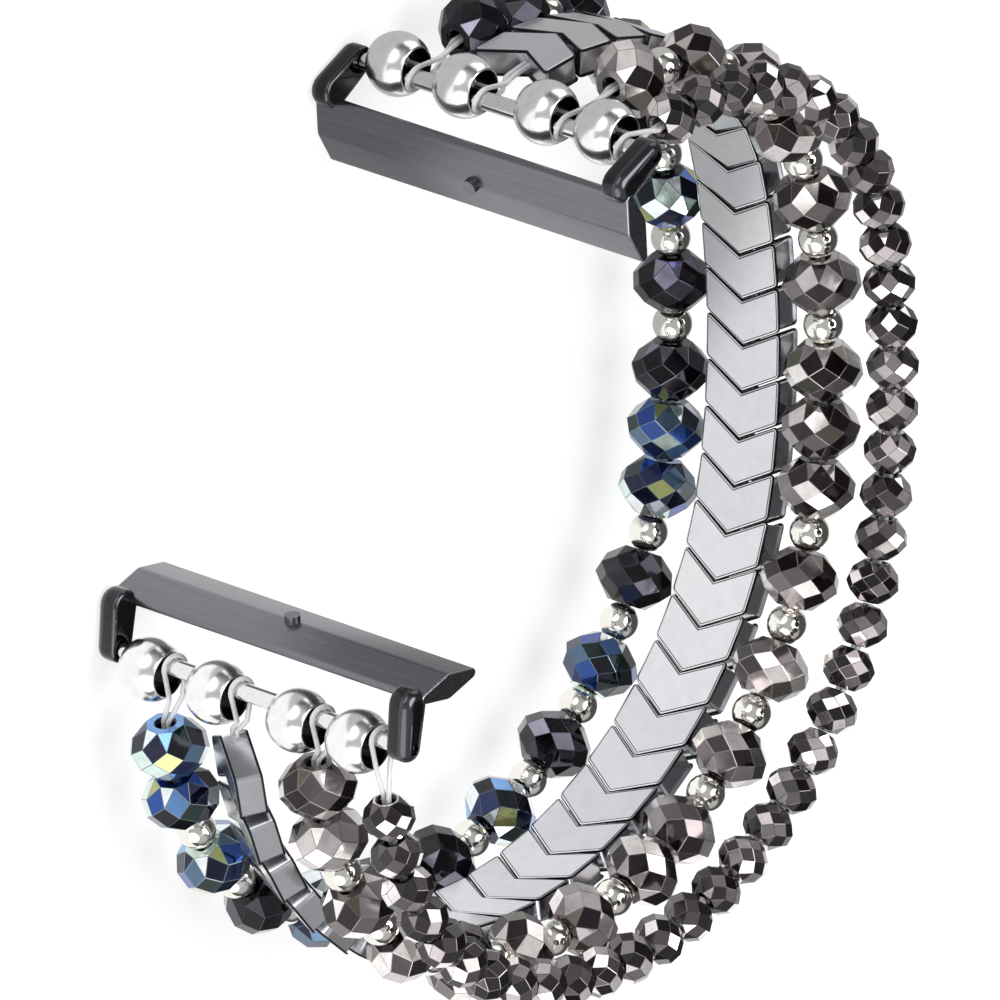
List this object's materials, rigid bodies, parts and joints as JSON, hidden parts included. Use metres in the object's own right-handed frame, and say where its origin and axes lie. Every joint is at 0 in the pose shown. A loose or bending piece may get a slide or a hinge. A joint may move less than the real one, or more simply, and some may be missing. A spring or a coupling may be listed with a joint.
{
  "type": "watch band",
  "caption": "Multi-strand beaded elastic watch band with slide-in adapters: faceted glass, chevron and silver-toned beads on doubled cord round spring bars.",
  "frame": {"origin": "centre of the band's outline, on the surface that its left edge lies on", "axes": "+Z from the left edge to the right one, along the spring bars; +Y from the adapters to the back of the wrist; +X towards the lower adapter"},
  "size_m": [0.0748, 0.056, 0.0302],
  "materials": {
    "black_glass": "opaque black glass, some of it with a blue iridescent coat",
    "gunmetal_glass": "glass plated in gunmetal, polished facets",
    "hematite": "polished hematite",
    "silver": "polished silver plating",
    "cord": "clear elastic cord",
    "steel": "polished stainless steel",
    "black_metal": "glossy black plating",
    "rail_metal": "dark satin steel"
  },
  "bodies": {
    "segment_1": {"glass_beads_1": "black_glass", "chevrons_1": "hematite", "grey_beads_1": "gunmetal_glass", "small_beads_1": "gunmetal_glass", "spacer_balls_1": "silver", "cords_1": "cord"},
    "segment_2": {"glass_beads_2": "black_glass", "chevrons_2": "hematite", "grey_beads_2": "gunmetal_glass", "small_beads_2": "gunmetal_glass", "spacer_balls_2": "silver", "cords_2": "cord"},
    "segment_3": {"glass_beads_3": "black_glass", "chevrons_3": "hematite", "grey_beads_3": "gunmetal_glass", "small_beads_3": "gunmetal_glass", "spacer_balls_3": "silver", "cords_3": "cord"},
    "segment_4": {"glass_beads_4": "black_glass", "chevrons_4": "hematite", "grey_beads_4": "gunmetal_glass", "small_beads_4": "gunmetal_glass", "spacer_balls_4": "silver", "cords_4": "cord"},
    "segment_5": {"glass_beads_5": "black_glass", "chevrons_5": "hematite", "grey_beads_5": "gunmetal_glass", "small_beads_5": "gunmetal_glass", "spacer_balls_5": "silver", "cords_5": "cord"},
    "segment_6": {"glass_beads_6": "black_glass", "chevrons_6": "hematite", "grey_beads_6": "gunmetal_glass", "small_beads_6": "gunmetal_glass", "spacer_balls_6": "silver", "cords_6": "cord"},
    "lower_adapter": {"lower_adapter": "black_metal", "lower_bar_tube": "steel", "lower_bar_spring": "steel"},
    "lower_latch_pin": {"lower_latch_pin": "rail_metal"},
    "lower_bar_tip_left": {"lower_bar_tip_left": "steel"},
    "lower_bar_tip_right": {"lower_bar_tip_right": "steel"},
    "lower_ball_1": {"lower_ball_1": "silver"},
    "lower_ball_2": {"lower_ball_2": "silver"},
    "lower_ball_3": {"lower_ball_3": "silver"},
    "lower_ball_4": {"lower_ball_4": "silver"},
    "upper_adapter": {"upper_adapter": "black_metal", "upper_bar_tube": "steel", "upper_bar_spring": "steel", "knots": "cord"},
    "upper_latch_pin": {"upper_latch_pin": "rail_metal"},
    "upper_bar_tip_left": {"upper_bar_tip_left": "steel"},
    "upper_bar_tip_right": {"upper_bar_tip_right": "steel"},
    "upper_ball_1": {"upper_ball_1": "silver"},
    "upper_ball_2": {"upper_ball_2": "silver"},
    "upper_ball_3": {"upper_ball_3": "silver"},
    "upper_ball_4": {"upper_ball_4": "silver"}
  },
  "joints": [
    {"name": "flex_1", "type": "hinge", "parent": "segment_2", "child": "segment_1", "pos_m": [0.03396, 0.00104, 0.015], "axis": [0, 0, 1], "range_deg": [-4, 12], "stiffness_Nm_per_rad": 0.05},
    {"name": "flex_2", "type": "hinge", "parent": "segment_3", "child": "segment_2", "pos_m": [0.02275, 0.01864, 0.015], "axis": [0, 0, 1], "range_deg": [-4, 12], "stiffness_Nm_per_rad": 0.05},
    {"name": "flex_3", "type": "hinge", "parent": "segment_3", "child": "segment_4", "pos_m": [-0.00416, 0.02398, 0.015], "axis": [0, 0, -1], "range_deg": [-4, 12], "stiffness_Nm_per_rad": 0.05},
    {"name": "flex_4", "type": "hinge", "parent": "segment_4", "child": "segment_5", "pos_m": [-0.02444, 0.01244, 0.015], "axis": [0, 0, -1], "range_deg": [-4, 12], "stiffness_Nm_per_rad": 0.05},
    {"name": "flex_5", "type": "hinge", "parent": "segment_5", "child": "segment_6", "pos_m": [-0.03308, 0.00139, 0.015], "axis": [0, 0, -1], "range_deg": [-4, 12], "stiffness_Nm_per_rad": 0.05},
    {"name": "lower_swivel", "type": "hinge", "parent": "segment_1", "child": "lower_adapter", "pos_m": [0.02209, -0.02523, 0.015], "axis": [0, 0, 1], "range_deg": [-20, 20]},
    {"name": "lower_ball_1_spin", "type": "hinge", "parent": "lower_adapter", "child": "lower_ball_1", "pos_m": [0.02272, -0.02474, 0.015], "axis": [0, 0, 1], "continuous": true},
    {"name": "lower_ball_2_spin", "type": "hinge", "parent": "lower_adapter", "child": "lower_ball_2", "pos_m": [0.02272, -0.02474, 0.015], "axis": [0, 0, 1], "continuous": true},
    {"name": "lower_ball_3_spin", "type": "hinge", "parent": "lower_adapter", "child": "lower_ball_3", "pos_m": [0.02272, -0.02474, 0.015], "axis": [0, 0, 1], "continuous": true},
    {"name": "lower_ball_4_spin", "type": "hinge", "parent": "lower_adapter", "child": "lower_ball_4", "pos_m": [0.02272, -0.02474, 0.015], "axis": [0, 0, 1], "continuous": true},
    {"name": "lower_tip_left_slide", "type": "slide", "parent": "lower_adapter", "child": "lower_bar_tip_left", "axis": [0, 0, 1], "range_m": [0, 0.0017], "stiffness_N_per_m": 300, "springref_m": -0.001, "deforming": ["lower_bar_spring"]},
    {"name": "lower_tip_right_slide", "type": "slide", "parent": "lower_adapter", "child": "lower_bar_tip_right", "axis": [0, 0, -1], "range_m": [0, 0.0017], "stiffness_N_per_m": 300, "springref_m": -0.001, "deforming": ["lower_bar_spring"]},
    {"name": "lower_latch_slide", "type": "slide", "parent": "lower_adapter", "child": "lower_latch_pin", "axis": [0.7837, 0.6212, 0], "range_m": [0, 0.0005], "stiffness_N_per_m": 300, "springref_m": -0.0005},
    {"name": "upper_swivel", "type": "hinge", "parent": "segment_6", "child": "upper_adapter", "pos_m": [-0.02492, -0.02443, 0.015], "axis": [0, 0, -1], "range_deg": [-20, 20]},
    {"name": "upper_ball_1_spin", "type": "hinge", "parent": "upper_adapter", "child": "upper_ball_1", "pos_m": [-0.02555, -0.02394, 0.015], "axis": [0, 0, 1], "continuous": true},
    {"name": "upper_ball_2_spin", "type": "hinge", "parent": "upper_adapter", "child": "upper_ball_2", "pos_m": [-0.02555, -0.02394, 0.015], "axis": [0, 0, 1], "continuous": true},
    {"name": "upper_ball_3_spin", "type": "hinge", "parent": "upper_adapter", "child": "upper_ball_3", "pos_m": [-0.02555, -0.02394, 0.015], "axis": [0, 0, 1], "continuous": true},
    {"name": "upper_ball_4_spin", "type": "hinge", "parent": "upper_adapter", "child": "upper_ball_4", "pos_m": [-0.02555, -0.02394, 0.015], "axis": [0, 0, 1], "continuous": true},
    {"name": "upper_tip_left_slide", "type": "slide", "parent": "upper_adapter", "child": "upper_bar_tip_left", "axis": [0, 0, 1], "range_m": [0, 0.0017], "stiffness_N_per_m": 300, "springref_m": -0.001, "deforming": ["upper_bar_spring"]},
    {"name": "upper_tip_right_slide", "type": "slide", "parent": "upper_adapter", "child": "upper_bar_tip_right", "axis": [0, 0, -1], "range_m": [0, 0.0017], "stiffness_N_per_m": 300, "springref_m": -0.001, "deforming": ["upper_bar_spring"]},
    {"name": "upper_latch_slide", "type": "slide", "parent": "upper_adapter", "child": "upper_latch_pin", "axis": [-0.7837, 0.6212, 0], "range_m": [0, 0.0005], "stiffness_N_per_m": 300, "springref_m": -0.0005}
  ]
}
